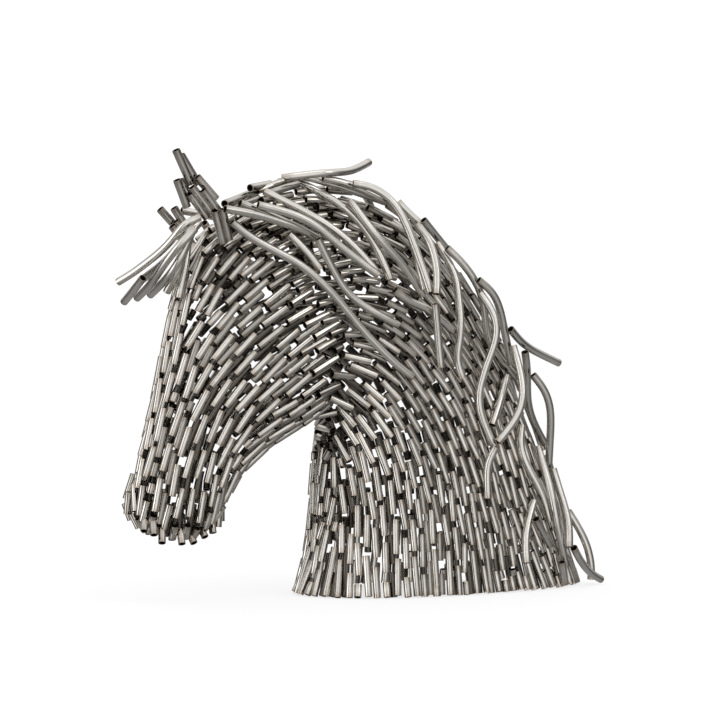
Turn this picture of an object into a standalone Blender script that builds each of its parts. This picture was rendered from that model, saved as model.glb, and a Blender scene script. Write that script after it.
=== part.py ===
"""A bust of a horse: head and neck as a hollow skin of short steel pipes, with a mane of bent tubes.

The horse faces -X and its left side is at -Y. The bust stands on its flat cut, at z = 0.
Its free form is drawn on a squared side view: u counts squares to the right and v counts them
down, as seen from a little in front of the horse's left side. The drawing is scaled by the
bust's height alone; pipe sizes, the wall and the clearance are sizes of their own.
"""
import math

import bmesh
import bpy
import numpy as np
from mathutils import Matrix, Vector
from mathutils.bvhtree import BVHTree

# Driving dimensions, in metres and degrees
BUST_HEIGHT = 0.842
SKIN_WALL = 0.015
ROW_GROOVE = 0.0035
TUBE_OD = 0.0165
EAR_PIPE_OD = 0.0165
CLEARANCE = 0.0004
TUBE_STEP = 0.036
VIEW_TURN = -28.0
VIEW_RISE = 1.5
VIEW_DISTANCE = 6.0

# Grey of the steel, from dark to light, and how rough it is
EAR_TONE = 0.55
SKIN_TONE = 0.62
RIGHT_MANE_TONE = 0.64
FORELOCK_TONE = 0.66
LEFT_MANE_TONE = 0.7
PIPE_ROUGHNESS = 0.32
TUBE_ROUGHNESS = 0.28

# The drawing: its rows at the ear's tip and at the cut, and the square that the view aims at
TIP_ROW = 150
CUT_ROW = 593
AIM_COLUMN = 360
AIM_ROW = 360
SQUARE = BUST_HEIGHT / (CUT_ROW - TIP_ROW)

# Sections of the head, muzzle to crown: front u, v, back u, v, half width in squares,
# roundness of the section, and how much narrower its front is than its back
HEAD_SECTIONS = (
    (161, 537, 196, 540, 16, 2.2, 0.0),
    (143, 525, 213, 533, 28, 2.3, 0.0),
    (136, 502, 224, 512, 33, 2.4, 0.0),
    (142, 469, 231, 489, 32, 2.4, 0.0),
    (151, 430, 243, 467, 33, 2.4, 0.1),
    (160, 385, 262, 449, 39, 2.4, 0.15),
    (169, 340, 282, 437, 48, 2.4, 0.2),
    (176, 293, 301, 427, 55, 2.4, 0.25),
    (186, 246, 328, 410, 56, 2.4, 0.2),
    (216, 212, 352, 382, 51, 2.3, 0.1),
    (262, 200, 362, 345, 40, 2.2, 0.0),
    (298, 220, 350, 305, 21, 2.0, 0.0),
)

# Sections of the neck, crown to cut: crest u, v, throat u, v, and the same three shape values
NECK_SECTIONS = (
    (262, 215, 316, 372, 32, 2.0, 0.0),
    (290, 192, 326, 390, 44, 2.1, 0.0),
    (340, 190, 328, 403, 48, 2.2, 0.1),
    (390, 206, 326, 416, 50, 2.2, 0.15),
    (432, 240, 321, 431, 51, 2.2, 0.2),
    (470, 290, 317, 452, 53, 2.2, 0.2),
    (502, 350, 314, 482, 57, 2.2, 0.2),
    (528, 412, 313, 515, 62, 2.2, 0.2),
    (550, 480, 310, 547, 68, 2.2, 0.15),
    (569, 541, 305, 572, 74, 2.2, 0.1),
    (583, 593, 298, 593, 79, 2.2, 0.1),
)

# Squares that the neck's room runs below the cut, and how finely the forms are faceted
BELOW_CUT = 12
HEAD_RINGS = 18
NECK_RINGS = 18
HEAD_ROWS = 23
NECK_ROWS = 32
INNER_SIDES = 22
INNER_RINGS = 10
FINE_STEPS = 721

# Mane tubes of the left side, from the lowest layer up, each by the few points that it bends at
MANE = (
    ((222, 206), (256, 191)),
    ((250, 188), (270, 184)),
    ((289, 234), (306, 250), (320, 269)),
    ((240, 203), (272, 216), (306, 231)),
    ((225, 209), (258, 215), (281, 224), (318, 238)),
    ((264, 191), (313, 216), (348, 240), (376, 271)),
    ((258, 205), (306, 219), (341, 247), (378, 275)),
    ((299, 182), (348, 210), (374, 243), (390, 279)),
    ((350, 201), (379, 240), (400, 261), (423, 295)),
    ((318, 239), (342, 286), (363, 306), (398, 325)),
    ((232, 222), (253, 239), (301, 265), (334, 295), (367, 335), (400, 368), (412, 377)),
    ((282, 178), (302, 177), (341, 187), (386, 202)),
    ((323, 178), (351, 185), (386, 201)),
    ((289, 177), (320, 174), (348, 173), (362, 167), (369, 162)),
    ((387, 201), (404, 216), (414, 247), (424, 290)),
    ((352, 184), (376, 188), (398, 208), (415, 247), (430, 292)),
    ((398, 202), (412, 217), (421, 224)),
    ((395, 290), (412, 304), (426, 307), (453, 331)),
    ((434, 304), (437, 329), (441, 367)),
    ((416, 225), (429, 239), (435, 258), (435, 279), (433, 295)),
    ((422, 220), (440, 241), (449, 252)),
    ((437, 243), (457, 280), (457, 329), (455, 355), (463, 378)),
    ((447, 248), (468, 269), (483, 298), (487, 337), (499, 358), (516, 378)),
    ((478, 280), (496, 295), (502, 318), (511, 364)),
    ((507, 376), (501, 398), (492, 425)),
    ((481, 291), (498, 327), (487, 364), (479, 390), (480, 412), (493, 444)),
    ((510, 329), (524, 346), (542, 355), (559, 363)),
    ((525, 352), (528, 375), (527, 401), (533, 422), (545, 444)),
    ((513, 346), (522, 380), (521, 410), (498, 442)),
    ((533, 375), (547, 393), (551, 413), (550, 441), (548, 476)),
    ((496, 447), (488, 460), (487, 476), (488, 498)),
    ((522, 425), (519, 444), (527, 467), (541, 490), (550, 521)),
    ((534, 501), (528, 521), (525, 540), (527, 563)),
    ((538, 447), (546, 476), (555, 515), (566, 566)),
    ((553, 469), (562, 499), (569, 521), (569, 547)),
    ((536, 519), (543, 532), (550, 546)),
    ((568, 511), (580, 530), (590, 553), (592, 578), (591, 586)),
    ((562, 562), (564, 574), (565, 586)),
    ((571, 547), (584, 566), (600, 586)),
)

# Which of these the right side repeats, mirrored, counted from 0
FAR_MANE = (4, 7, 10, 15, 19, 22, 25, 29, 31, 34, 36)

# Forelock tubes, from the lowest layer up
FORELOCK = (
    ((188, 240), (185, 267), (179, 298)),
    ((190, 231), (184, 254), (177, 273), (167, 292)),
    ((192, 232), (171, 276), (151, 295)),
    ((195, 229), (179, 254), (164, 275), (137, 298)),
    ((200, 222), (183, 243), (167, 261), (143, 279)),
    ((143, 278), (133, 291), (124, 302)),
    ((200, 217), (179, 237), (133, 273), (118, 282)),
)

# Ear pipes: top u, v, lower end u, v, and how far they stand towards the viewer, in pipe widths
LEFT_EAR = (
    (215, 211, 223, 243, 0.3),
    (222, 209, 229, 240, 0.0),
    (203, 190, 222, 216, 0.6),
    (192, 187, 212, 213, 0.7),
    (190, 194, 207, 218, 0.3),
    (197, 177, 216, 199, 0.1),
    (176, 150, 191, 184, 0.5),
    (181, 155, 198, 184, 0.0),
    (180, 180, 192, 200, 0.2),
    (177, 180, 187, 207, 0.6),
)
RIGHT_EAR = (
    (176, 221, 196, 250, 0.0),
    (172, 226, 192, 252, 0.1),
    (174, 208, 187, 229, 0.3),
    (160, 209, 177, 228, 0.0),
)
EAR_SIDES = 6

# How a tube is laid: layers that it may cross, and the rounds that ease it and push it clear
LAYERS = 4
EASE_ROUNDS = 80
SETTLE_ROUNDS = 60
TOUCH_ROUNDS = 14


def view_axes():
    """Unit vectors of the drawing: to the right, up, and back towards the eye."""
    turn = math.radians(VIEW_TURN)
    rise = math.radians(VIEW_RISE)
    right = Vector((math.cos(turn), math.sin(turn), 0.0))
    back = Vector((math.sin(turn) * math.cos(rise), -math.cos(turn) * math.cos(rise), math.sin(rise)))
    return right, back.cross(right), back


RIGHT, UP, BACK = view_axes()
AIM = Vector((0.0, 0.0, (CUT_ROW - AIM_ROW) * SQUARE))
EYE = AIM + BACK * VIEW_DISTANCE


def sight(u, v):
    """Direction in which the eye sees the square u, v of the drawing."""
    target = AIM + RIGHT * ((u - AIM_COLUMN) * SQUARE) + UP * ((AIM_ROW - v) * SQUARE)
    return (target - EYE).normalized()


def mid_plane(u, v):
    """Place of a drawn square in the plane that halves the horse, as (x, z)."""
    x = (u - AIM_COLUMN) * SQUARE / math.cos(math.radians(VIEW_TURN))
    return x, (CUT_ROW - v) * SQUARE


def smooth_rows(rows, count):
    """Rows of numbers read at even steps from a smooth curve through the given rows."""
    rows = np.asarray(rows, float)
    last = len(rows) - 1
    out = []
    for s in np.linspace(0.0, last, count):
        i = min(int(s), last - 1)
        f = s - i
        a, b = rows[max(i - 1, 0)], rows[i]
        c, d = rows[i + 1], rows[min(i + 2, last)]
        out.append(b + 0.5 * f * (c - a + f * (2 * a - 5 * b + 4 * c - d + f * (3 * (b - c) + d - a))))
    return np.array(out)


def signed_power(values, power):
    return np.sign(values) * np.abs(values) ** power


def section_ring(row, sides, groove, inset):
    """Closed ring of points round one section, with every second point sunk by the groove."""
    fx, fz = mid_plane(row[0], row[1])
    bx, bz = mid_plane(row[2], row[3])
    centre = np.array(((fx + bx) / 2, 0.0, (fz + bz) / 2))
    reach = np.array(((fx - bx) / 2, 0.0, (fz - bz) / 2))
    width, roundness, taper = row[4] * SQUARE, row[5], row[6]
    angle = np.linspace(0.0, 2 * math.pi, FINE_STEPS)
    along = signed_power(np.cos(angle), 2 / roundness)
    across = signed_power(np.sin(angle), 2 / roundness) * width * (1 - taper * along)
    fine = centre + along[:, None] * reach + across[:, None] * np.array((0.0, 1.0, 0.0))
    steps = np.linalg.norm(np.diff(fine, axis=0), axis=1)
    run = np.concatenate(([0.0], np.cumsum(steps)))
    marks = np.arange(sides) * run[-1] / sides
    ring = np.stack([np.interp(marks, run, fine[:, k]) for k in range(3)], axis=1)
    tangent = np.roll(ring, -1, axis=0) - np.roll(ring, 1, axis=0)
    plane = np.cross(reach, (0.0, 1.0, 0.0))
    outward = np.cross(tangent, plane)
    outward /= np.linalg.norm(outward, axis=1)[:, None]
    outward *= np.sign(np.sum(outward * (ring - centre)))
    sunk = inset + groove * (np.arange(sides) % 2)
    return ring - outward * sunk[:, None]


def loft(name, sections, sides, rings, groove=0.0, inset=0.0):
    """Closed mesh object skinned over the sections, with a fan across each end."""
    mesh = bpy.data.meshes.new(name)
    bm = bmesh.new()
    levels = []
    for row in smooth_rows(sections, rings):
        points = section_ring(row, sides, groove, inset)
        levels.append([bm.verts.new(p) for p in points])
    for low, high in zip(levels, levels[1:]):
        for k in range(sides):
            n = (k + 1) % sides
            bm.faces.new((low[k], low[n], high[n], high[k]))
    for level in (levels[0], levels[-1]):
        middle = bm.verts.new(sum((v.co for v in level), Vector()) / sides)
        for k in range(sides):
            bm.faces.new((level[k], level[(k + 1) % sides], middle))
    bmesh.ops.triangulate(bm, faces=bm.faces[:])
    bmesh.ops.recalc_face_normals(bm, faces=bm.faces[:])
    bm.to_mesh(mesh)
    bm.free()
    return bpy.data.objects.new(name, mesh)


def steel(name, tone, roughness):
    material = bpy.data.materials.new(name)
    material.use_nodes = True
    shader = material.node_tree.nodes["Principled BSDF"]
    shader.inputs["Base Color"].default_value = (tone, tone * 0.97, tone * 0.93, 1.0)
    shader.inputs["Metallic"].default_value = 1.0
    shader.inputs["Roughness"].default_value = roughness
    material.diffuse_color = (tone, tone * 0.97, tone * 0.93, 1.0)
    return material


def hide(obj):
    obj.hide_render = True
    obj.display_type = "WIRE"


def boolean(obj, other, operation):
    modifier = obj.modifiers.new(operation.title(), "BOOLEAN")
    modifier.operation = operation
    modifier.solver = "EXACT"
    modifier.object = other


def build_skin(parts, cutters):
    """The hollow skin: head and neck joined, less the same two forms inset by the wall."""
    below = NECK_SECTIONS[-1]
    drop = (below[0], CUT_ROW + BELOW_CUT, below[2], CUT_ROW + BELOW_CUT) + below[4:]
    skin = loft("pipe_skin", HEAD_SECTIONS, 2 * HEAD_ROWS, HEAD_RINGS, ROW_GROOVE)
    neck = loft("neck_form", NECK_SECTIONS, 2 * NECK_ROWS, NECK_RINGS, ROW_GROOVE)
    head_room = loft("head_room", HEAD_SECTIONS[1:-1], INNER_SIDES, INNER_RINGS, inset=SKIN_WALL)
    neck_room = loft("neck_room", NECK_SECTIONS + (drop,), 2 * INNER_SIDES, INNER_RINGS, inset=SKIN_WALL)
    parts.objects.link(skin)
    for form, operation in ((neck, "UNION"), (head_room, "DIFFERENCE"), (neck_room, "DIFFERENCE")):
        cutters.objects.link(form)
        hide(form)
        boolean(skin, form, operation)
    skin.data.materials.append(steel("skin_steel", SKIN_TONE, PIPE_ROUGHNESS))
    bpy.context.view_layer.update()
    return skin


class Surroundings:
    """What a tube must stay clear of: the skin, and the tubes and pipes already in place."""

    def __init__(self, skin):
        graph = bpy.context.evaluated_depsgraph_get()
        self.skin = BVHTree.FromObject(skin, graph)
        self.starts = np.zeros((0, 3))
        self.ends = np.zeros((0, 3))
        self.radii = np.zeros(0)

    def add(self, points, radius):
        points = np.asarray(points, float)
        self.starts = np.vstack((self.starts, points[:-1]))
        self.ends = np.vstack((self.ends, points[1:]))
        self.radii = np.concatenate((self.radii, np.full(len(points) - 1, radius)))

    def from_skin(self, points, radius):
        """Room left between each point, as a ball of the radius, and the skin."""
        return np.array([self.skin.find_nearest(Vector(p))[3] for p in points]) - radius - CLEARANCE

    def feet(self, point):
        """The point nearest to the given one on each placed tube's axis."""
        run = self.ends - self.starts
        share = np.sum((point - self.starts) * run, axis=1) / np.sum(run * run, axis=1)
        return self.starts + run * np.clip(share, 0.0, 1.0)[:, None]

    def room(self, point, radius):
        """Least room round a ball, and the direction that leads away from what is nearest."""
        place, _, _, gap = self.skin.find_nearest(Vector(point))
        away = point - np.array(place)
        best = gap - radius - CLEARANCE
        if len(self.radii):
            offset = point - self.feet(point)
            gaps = np.linalg.norm(offset, axis=1) - self.radii - radius - CLEARANCE
            k = int(np.argmin(gaps))
            if gaps[k] < best:
                best, away = gaps[k], offset[k]
        return best, away / max(np.linalg.norm(away), 1e-9)


def first_contact(around, eye, ray, radius):
    """How far from the eye a ball, moved along the ray, comes to rest on the horse.

    It rests on the tubes in a few layers over the skin, or against the skin, or else, where
    the ray passes the skin by, at the place where it comes nearest.
    """
    reach = BUST_HEIGHT * 0.75
    span = np.linspace(VIEW_DISTANCE - reach, VIEW_DISTANCE + reach, 160)
    points = eye + span[:, None] * ray
    bare = around.from_skin(points, radius)
    hits = np.flatnonzero(bare < 0.0)
    last = hits[0] if len(hits) else int(np.argmin(bare))
    layers = int(LAYERS * TUBE_OD / (span[1] - span[0]))
    for k in range(max(last - layers, 0), last + 1):
        if around.room(points[k], radius)[0] < 0.0:
            return touch(around, eye, ray, radius, span[k - 1], span[k])
    return span[last]


def touch(around, eye, ray, radius, near, far):
    """The last place before contact, between a clear one and one that isn't."""
    for _ in range(TOUCH_ROUNDS):
        middle = (near + far) / 2
        if around.room(eye + middle * ray, radius)[0] < 0.0:
            far = middle
        else:
            near = middle
    return near


def even_route(points):
    """The drawn route's squares, read about one tube step apart from a smooth curve."""
    fine = smooth_rows(points, FINE_STEPS) if len(points) > 2 else np.linspace(*points, FINE_STEPS)
    steps = np.linalg.norm(np.diff(fine, axis=0), axis=1)
    run = np.concatenate(([0.0], np.cumsum(steps)))
    count = max(3, int(round(run[-1] * SQUARE / TUBE_STEP)) + 1)
    marks = np.linspace(0.0, run[-1], count)
    return np.stack([np.interp(marks, run, fine[:, k]) for k in range(2)], axis=1)


def push_clear(around, path, radius):
    """Move the path's points out until every stretch of the tube is clear."""
    for _ in range(SETTLE_ROUNDS):
        worst = 0.0
        for i in range(len(path) - 1):
            for share in (0.0, 0.25, 0.5, 0.75, 1.0):
                point = path[i] * (1 - share) + path[i + 1] * share
                room, away = around.room(point, radius)
                if room < 0.0:
                    worst = min(worst, room)
                    path[i] -= away * room * (1 - share)
                    path[i + 1] -= away * room * share
        path[:, 2] = np.maximum(path[:, 2], radius + CLEARANCE)
        if worst > -CLEARANCE / 10:
            break
    return path


def ease(depth):
    """A stiff tube's depths: straight over hollows, bent gently over what it crosses."""
    eased = depth.copy()
    for _ in range(EASE_ROUNDS):
        eased[1:-1] = np.minimum(eased[1:-1], (eased[:-2] + eased[2:]) / 2)
    for _ in range(2):
        eased[1:-1] = (eased[:-2] + 2 * eased[1:-1] + eased[2:]) / 4
    return eased - max(0.0, float(np.max(eased - depth)))


def settle(around, points, radius, mirrored=False):
    """Lay a drawn route on the horse: against the skin, or on the tubes that it crosses."""
    flip = np.array((1.0, -1.0 if mirrored else 1.0, 1.0))
    eye = np.array(EYE) * flip
    rays = [np.array(sight(u, v)) * flip for u, v in even_route(points)]
    depth = ease(np.array([first_contact(around, eye, ray, radius) for ray in rays]))
    path = np.array([eye + t * ray for t, ray in zip(depth, rays)])
    path[:, 2] = np.maximum(path[:, 2], radius + CLEARANCE)
    return push_clear(around, path, radius)


def tube(name, path, parts, material):
    """A bent tube as a bevelled curve through the path."""
    curve = bpy.data.curves.new(name, "CURVE")
    curve.dimensions = "3D"
    curve.bevel_depth = TUBE_OD / 2
    curve.bevel_resolution = 1
    curve.use_fill_caps = True
    spline = curve.splines.new("POLY")
    spline.points.add(len(path) - 1)
    for point, place in zip(spline.points, path):
        point.co = (*place, 1.0)
    curve.materials.append(material)
    parts.objects.link(bpy.data.objects.new(name, curve))


def build_tubes(names, routes, around, parts, tone, mirrored=False):
    for name, points in zip(names, routes):
        path = settle(around, points, TUBE_OD / 2, mirrored)
        around.add(path, TUBE_OD / 2)
        tube(name, path, parts, steel(name + "_steel", tone, TUBE_ROUGHNESS))


def pipe_mesh(name, start, end):
    """A short straight pipe between two points, as a closed prism."""
    axis = end - start
    turn = axis.to_track_quat("Z", "Y").to_matrix().to_4x4()
    place = Matrix.Translation((start + end) / 2) @ turn
    bm = bmesh.new()
    bmesh.ops.create_cone(bm, cap_ends=True, segments=EAR_SIDES, radius1=EAR_PIPE_OD / 2,
                          radius2=EAR_PIPE_OD / 2, depth=axis.length, matrix=place)
    mesh = bpy.data.meshes.new(name)
    bm.to_mesh(mesh)
    bm.free()
    return bpy.data.objects.new(name, mesh)


def build_ear(name, table, depth, around, parts, cutters):
    """An ear of pipes welded side by side, all about the given distance from the eye."""
    pipes = []
    for k, (u0, v0, u1, v1, forward) in enumerate(table):
        reach = depth - forward * EAR_PIPE_OD
        ends = [EYE + sight(u, v) * reach for u, v in ((u0, v0), (u1, v1))]
        around.add(ends, EAR_PIPE_OD / 2)
        pipes.append(pipe_mesh(name if k == 0 else f"{name}_pipe_{k}", *ends))
    parts.objects.link(pipes[0])
    for pipe in pipes[1:]:
        cutters.objects.link(pipe)
        hide(pipe)
        boolean(pipes[0], pipe, "UNION")
    pipes[0].data.materials.append(steel(name + "_steel", EAR_TONE, PIPE_ROUGHNESS))


def ear_depth(table, around, from_behind):
    """The distance from the eye at which the ear's lowest pipes just touch the head."""
    depths = []
    for _, _, u, v, forward in table[:2]:
        ray = np.array(sight(u, v))
        lift = forward * EAR_PIPE_OD
        if from_behind:
            far_eye = np.array(EYE) + 2 * VIEW_DISTANCE * ray
            rest = 2 * VIEW_DISTANCE - first_contact(around, far_eye, -ray, EAR_PIPE_OD / 2)
        else:
            rest = first_contact(around, np.array(EYE), ray, EAR_PIPE_OD / 2)
        depths.append(rest + lift)
    return max(depths) if from_behind else min(depths)


def places(obj, graph):
    """The corners of an object's finished mesh, as rows of x, y, z."""
    finished = obj.evaluated_get(graph)
    mesh = finished.to_mesh()
    flat = np.empty(3 * len(mesh.vertices))
    mesh.vertices.foreach_get("co", flat)
    finished.to_mesh_clear()
    return flat.reshape(-1, 3)


def centre_on_origin(parts, cutters):
    """Move everything so that the middle of the bust's box is over the origin."""
    graph = bpy.context.evaluated_depsgraph_get()
    corners = np.vstack([places(obj, graph) for obj in parts.objects])
    middle = (corners.min(axis=0) + corners.max(axis=0)) / 2
    for obj in (*parts.objects, *cutters.objects):
        obj.location = (-middle[0], -middle[1], 0.0)


def main():
    for obj in list(bpy.data.objects):
        bpy.data.objects.remove(obj)
    parts = bpy.data.collections.new("pipe_horse_sculpture")
    cutters = bpy.data.collections.new("cutters")
    bpy.context.scene.collection.children.link(parts)
    bpy.context.scene.collection.children.link(cutters)
    skin = build_skin(parts, cutters)
    around = Surroundings(skin)
    names = [f"forelock_{k + 1}" for k in range(len(FORELOCK))]
    build_tubes(names, FORELOCK, around, parts, FORELOCK_TONE)
    for name, table, from_behind in (("ear_left", LEFT_EAR, False), ("ear_right", RIGHT_EAR, True)):
        depth = ear_depth(table, around, from_behind)
        build_ear(name, table, depth, around, parts, cutters)
    names = [f"mane_left_{k + 1:02d}" for k in range(len(MANE))]
    build_tubes(names, MANE, around, parts, LEFT_MANE_TONE)
    names = [f"mane_right_{k + 1:02d}" for k in range(len(FAR_MANE))]
    routes = [MANE[k] for k in FAR_MANE]
    build_tubes(names, routes, around, parts, RIGHT_MANE_TONE, mirrored=True)
    bpy.context.view_layer.update()
    centre_on_origin(parts, cutters)


main()
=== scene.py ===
"""The look of a horse bust welded up from short steel pipes, with a mane of bent tubes.

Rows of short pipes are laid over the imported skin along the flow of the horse's form, staggered
as bricks are. Each packed mane and forelock tube is drawn again as a smooth hollow one, and the
ears as hollow pipes. Where a flow line or a pipe lies is given in squares of the same side view
that the part is drawn on: u to the right, v down. Lengths are in metres.
"""

import math

import bmesh
import bpy
import numpy as np
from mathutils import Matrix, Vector
from mathutils.bvhtree import BVHTree


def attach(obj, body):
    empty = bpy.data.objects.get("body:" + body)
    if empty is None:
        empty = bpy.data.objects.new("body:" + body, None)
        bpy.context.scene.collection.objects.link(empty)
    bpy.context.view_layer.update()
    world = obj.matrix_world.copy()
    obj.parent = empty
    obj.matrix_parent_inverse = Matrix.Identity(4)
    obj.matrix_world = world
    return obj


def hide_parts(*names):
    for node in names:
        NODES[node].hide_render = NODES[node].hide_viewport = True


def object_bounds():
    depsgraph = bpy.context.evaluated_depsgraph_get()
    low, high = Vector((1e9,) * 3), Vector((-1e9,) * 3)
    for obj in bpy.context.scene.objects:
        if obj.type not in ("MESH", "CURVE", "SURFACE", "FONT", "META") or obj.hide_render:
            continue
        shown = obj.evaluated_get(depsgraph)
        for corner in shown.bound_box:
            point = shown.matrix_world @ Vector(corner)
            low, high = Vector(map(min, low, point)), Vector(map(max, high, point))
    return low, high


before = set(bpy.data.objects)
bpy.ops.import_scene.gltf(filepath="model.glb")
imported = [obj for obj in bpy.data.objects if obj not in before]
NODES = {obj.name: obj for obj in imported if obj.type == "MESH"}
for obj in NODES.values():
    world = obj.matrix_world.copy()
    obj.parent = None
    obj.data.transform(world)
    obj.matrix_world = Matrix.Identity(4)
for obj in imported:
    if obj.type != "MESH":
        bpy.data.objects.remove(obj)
cad_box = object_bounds()

# Sizes of the steel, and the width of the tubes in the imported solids
PIPE_OD = 0.0140
PIPE_BORE = 0.0114
TUBE_OD = 0.0151
TUBE_BORE = 0.0122
PACKED_TUBE_OD = 0.0165
EAR_PIPE_OD = 0.0160
EAR_PIPE_BORE = 0.0129

# How finely the steel is meshed
PIPE_SIDES = 12
TUBE_SIDES = 14
TUBE_RING_GAP = 0.008
TUBE_FEWEST_RINGS = 5
BEND_STEPS = 30
TEMPLATE_BORE = 0.5
SHARP_EDGE = math.radians(50)
WELD = 1e-5
END_FACE_REACH = 1.08 * PACKED_TUBE_OD

# The skin is smoothed before the rows are laid, and open below its rim
SMOOTH_ROUNDS = 4
RIM = 0.0012

# How the short pipes are laid, first on the head and then on the neck, and where the one form
# goes over into the other
HEAD_PITCH = 0.0172
NECK_PITCH = 0.0158
HEAD_GAP = 0.0136
NECK_GAP = 0.0178
HEAD_ENDS = (-0.12, -0.02)
PIPE_PERIOD = 0.072
SHORTEST_PIPE = 0.013
SHORTEST_ROW = 0.025
ON_FLOOR = 0.01
SUNK = 0.0052
BEHIND = 0.008

# Layers of rows: how deep each lies, as a share of BEHIND, and how near, in pitches, a laid row
# may be where a new one starts and where it goes on
ROW_LAYERS = ((0.0, 0.97, 0.86), (0.45, 0.76, 0.64), (1.0, 0.57, 0.51))
FIRST_ROWS = ((260, 330), (430, 430), (200, 470), (330, 300), (180, 330), (320, 560), (480, 540))

# How a row is walked: its step, the least that a step gets on, the sharpest turn as a cosine, the
# most steps, and after how many steps the next rows start beside it
ROW_STEP = 0.005
LEAST_STEP = 0.4 * ROW_STEP
SHARPEST_TURN = 0.72
LONGEST_WALK = 220
STARTS_EVERY = 3

# The muzzle's open end: in front of and below this, where the skin looks down
MUZZLE_FRONT = -0.3
MUZZLE_HEIGHT = 0.2
MUZZLE_SLOPE = -0.72

# What a welder's eye leaves uneven
SEED = 11
BREAK_SHIFT = 0.003
GAP_SPREAD = (0.6, 1.4)
DEPTH_SHIFT = 0.0011
END_TILT = 0.0014
END_TURN = 0.035

# A gap goes beside the middles of the pipes within this reach
NEIGHBOUR_REACH = 1.3 * HEAD_PITCH

# The short pipes are kept this far inside the part's box, by clipping their ends a few times
BOX_MARGIN = 0.0002
BOX_ROUNDS = 4

# Painted shade on a pipe's walls: how a wall faces, against the skin's outside or the side given in its
# stead, where the painted shade starts and where it is full
SHADE_FACING = (0.15, -0.5)

# The side view: where it aims, its distance, and the size of its squares
VIEW_TURN = math.radians(-28.0)
VIEW_RISE = math.radians(1.5)
VIEW_DISTANCE = 6.0
PICTURE_SQUARES = 720
AIM_SQUARE = PICTURE_SQUARES // 2
BUST_HEIGHT = 0.842
BUST_SQUARES = 443
SQUARE = BUST_HEIGHT / BUST_SQUARES
MIDDLE = 0.0042
AIM = Vector((-0.0096, MIDDLE, 233 * SQUARE))
RIGHT = Vector((math.cos(VIEW_TURN), math.sin(VIEW_TURN), 0.0))
BACK = Vector((math.sin(VIEW_TURN) * math.cos(VIEW_RISE),
               -math.cos(VIEW_TURN) * math.cos(VIEW_RISE), math.sin(VIEW_RISE)))
UP = BACK.cross(RIGHT)
EYE = AIM + BACK * VIEW_DISTANCE

# Flow of the rows: u, v, and the direction in degrees up from the right
HEAD_FLOW = (
    (250, 300, 39), (300, 330, 34), (340, 340, 30), (270, 350, 45), (220, 320, 50),
    (200, 330, 53), (225, 270, 52), (250, 250, 40), (290, 280, 34), (205, 300, 62),
    (185, 300, 80), (180, 330, 79), (165, 340, 80), (185, 370, 77), (170, 380, 79),
    (200, 400, 59), (185, 400, 67), (160, 400, 76), (250, 400, 49), (230, 440, 64),
    (200, 450, 72), (170, 450, 78), (150, 450, 75), (190, 480, 75), (170, 500, 79),
    (200, 500, 78), (215, 500, 82), (140, 490, 72), (290, 420, 30), (265, 440, 36),
    (290, 380, 42), (230, 370, 50), (155, 520, 74), (190, 525, 84), (310, 370, 36),
)
NECK_FLOW = (
    (340, 270, 18), (350, 285, 8), (370, 290, -10), (390, 300, -20), (400, 320, -35),
    (400, 345, -40), (370, 365, -25), (360, 380, -30), (370, 400, -42), (390, 400, -48),
    (410, 420, -60), (430, 390, -58), (450, 350, -55), (480, 340, -60), (350, 420, -55),
    (325, 420, -65), (330, 440, -68), (315, 440, -75), (440, 450, -68), (470, 430, -68),
    (400, 450, -70), (350, 480, -78), (400, 500, -83), (450, 500, -82), (500, 480, -75),
    (540, 500, -70), (400, 560, -88), (450, 560, -87), (500, 560, -80), (350, 560, 90),
    (320, 560, 82), (303, 575, 72), (330, 230, 2), (370, 230, -22), (300, 210, 12),
    (420, 270, -45), (450, 290, -55), (550, 560, -72), (310, 520, -86), (300, 240, 20),
)

# Down the front of the throat the rows run straight up: from where it is looked for, and heights
THROAT_FROM = -0.25
THROAT_HEIGHTS = (0.04, 0.08, 0.12, 0.16, 0.2, 0.24)

# How far a flow line's pull is blurred, in square metres, and what it has on faces turned away
FLOW_BLUR = 0.0002
FLOW_TURNED_AWAY = 0.05

# Ear pipes: top u, v, lower end u, v, and how far they stand towards the viewer, in pipe widths
LEFT_EAR = (
    (215, 211, 223, 243, 0.3), (222, 209, 229, 240, 0.0), (203, 190, 222, 216, 0.6),
    (192, 187, 212, 213, 0.7), (190, 194, 207, 218, 0.3), (197, 177, 216, 199, 0.1),
    (176, 150, 191, 184, 0.5), (181, 155, 198, 184, 0.0), (180, 180, 192, 200, 0.2),
    (177, 180, 187, 207, 0.6),
)
RIGHT_EAR = (
    (176, 221, 196, 250, 0.0), (172, 226, 192, 252, 0.1), (174, 208, 187, 229, 0.3),
    (160, 209, 177, 228, 0.0),
)

# How much an ear pipe leans towards the viewer for its length, how deep its middle lies behind
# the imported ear's face in pipe widths, and where along it that face is looked for
EAR_LEAN = 0.3
EAR_DEPTH = 0.47
EAR_LOOKS = (0.3, 0.5, 0.7)

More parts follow.
